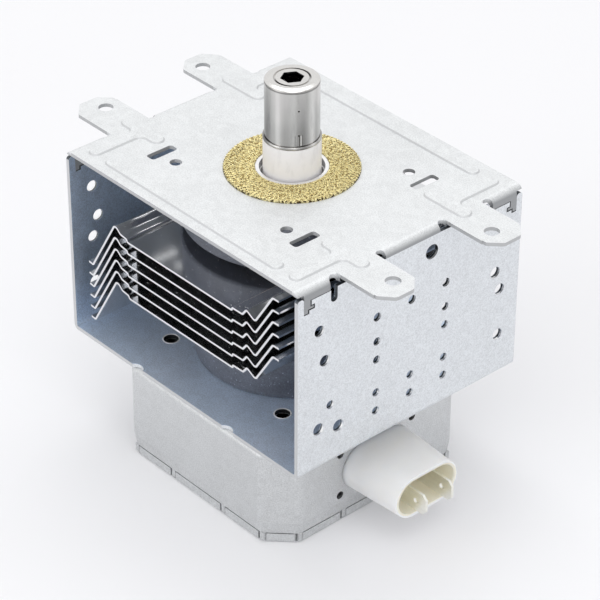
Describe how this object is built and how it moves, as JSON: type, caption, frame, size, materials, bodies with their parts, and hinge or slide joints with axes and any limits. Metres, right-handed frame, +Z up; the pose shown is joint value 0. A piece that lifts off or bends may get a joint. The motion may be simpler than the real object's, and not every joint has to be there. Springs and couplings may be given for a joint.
{
  "type": "magnetron",
  "caption": "Microwave-oven magnetron: folded steel yoke round ring magnets and cooling fins, an antenna on top, and a filter box with a push-on connector below.",
  "frame": {"origin": "the antenna's axis where it crosses the top face of the top plate, the centre of the four ear holes", "axes": "+Z up along the antenna, +X towards the side wall above the connector, -Y towards the open end where the fins are seen in the picture"},
  "size_m": [0.1296, 0.0802, 0.1163],
  "materials": {
    "plate_steel": "galvanised, fine spangle",
    "yoke_steel": "galvanised, fine spangle",
    "box_steel": "galvanised, fine spangle",
    "ferrite": "ground dark ferrite",
    "gasket_mesh": "knitted wire",
    "bright_metal": "drawn, satin bright",
    "copper": "bright copper",
    "inner_steel": "plain",
    "white_ceramic": "matte alumina",
    "tungsten": "dull",
    "fin_aluminium": "bright rolled",
    "connector_plastic": "moulded, smooth",
    "terminal_metal": "tinned"
  },
  "bodies": {
    "root": {"top_plate": "plate_steel", "yoke_frame": "yoke_steel", "upper_magnet": "ferrite", "lower_magnet": "ferrite", "mesh_gasket": "gasket_mesh", "upper_seal_shell": "bright_metal", "lower_seal_shell": "inner_steel", "upper_pole_piece": "inner_steel", "lower_pole_piece": "inner_steel", "anode_block": "copper", "strap_upper_inner": "copper", "strap_upper_outer": "copper", "strap_lower_inner": "copper", "strap_lower_outer": "copper", "cathode_filament": "tungsten", "upper_end_hat": "tungsten", "lower_end_hat": "tungsten", "centre_lead": "tungsten", "side_lead": "tungsten", "stem_ceramic": "white_ceramic", "antenna_cap": "bright_metal", "antenna_ceramic": "white_ceramic", "exhaust_tube": "copper", "antenna_lead": "copper", "filter_box": "box_steel", "filter_box_cover": "box_steel", "connector_housing": "connector_plastic", "blade_front": "terminal_metal", "blade_back": "terminal_metal", "capacitor_body": "white_ceramic", "capacitor_plate": "inner_steel", "choke_coil_front": "copper", "choke_coil_back": "copper", "choke_core_front": "ferrite", "choke_core_back": "ferrite", "fin_1": "fin_aluminium", "fin_2": "fin_aluminium", "fin_3": "fin_aluminium", "fin_4": "fin_aluminium", "fin_5": "fin_aluminium", "fin_6": "fin_aluminium"}
  },
  "joints": []
}
